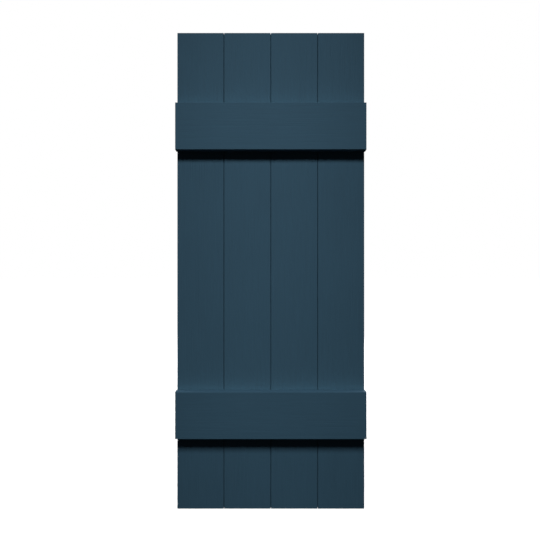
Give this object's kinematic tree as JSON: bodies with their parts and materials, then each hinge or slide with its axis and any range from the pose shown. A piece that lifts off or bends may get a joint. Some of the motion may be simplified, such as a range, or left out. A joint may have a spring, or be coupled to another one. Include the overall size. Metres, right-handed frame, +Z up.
{
  "type": "board and batten shutter",
  "caption": "Exterior window shutter: upright boards lapped edge to edge, crossed by raised horizontal battens near the ends, with a hollow ribbed back that bears flat on a wall.",
  "frame": {"origin": "middle of the shutter's back, on the plane of the wall it is fixed to", "axes": "+X to the right as seen from the front, +Y into the wall so that the front faces -Y, +Z up"},
  "size_m": [0.3524, 0.0381, 0.889],
  "materials": {
    "board_plastic": "satin moulded copolymer, faint upright wood grain",
    "batten_plastic": "satin moulded copolymer, faint level wood grain"
  },
  "bodies": {
    "root": {"left_outer_board": "board_plastic", "left_inner_board": "board_plastic", "right_inner_board": "board_plastic", "right_outer_board": "board_plastic", "upper_batten": "batten_plastic", "lower_batten": "batten_plastic"}
  },
  "joints": []
}
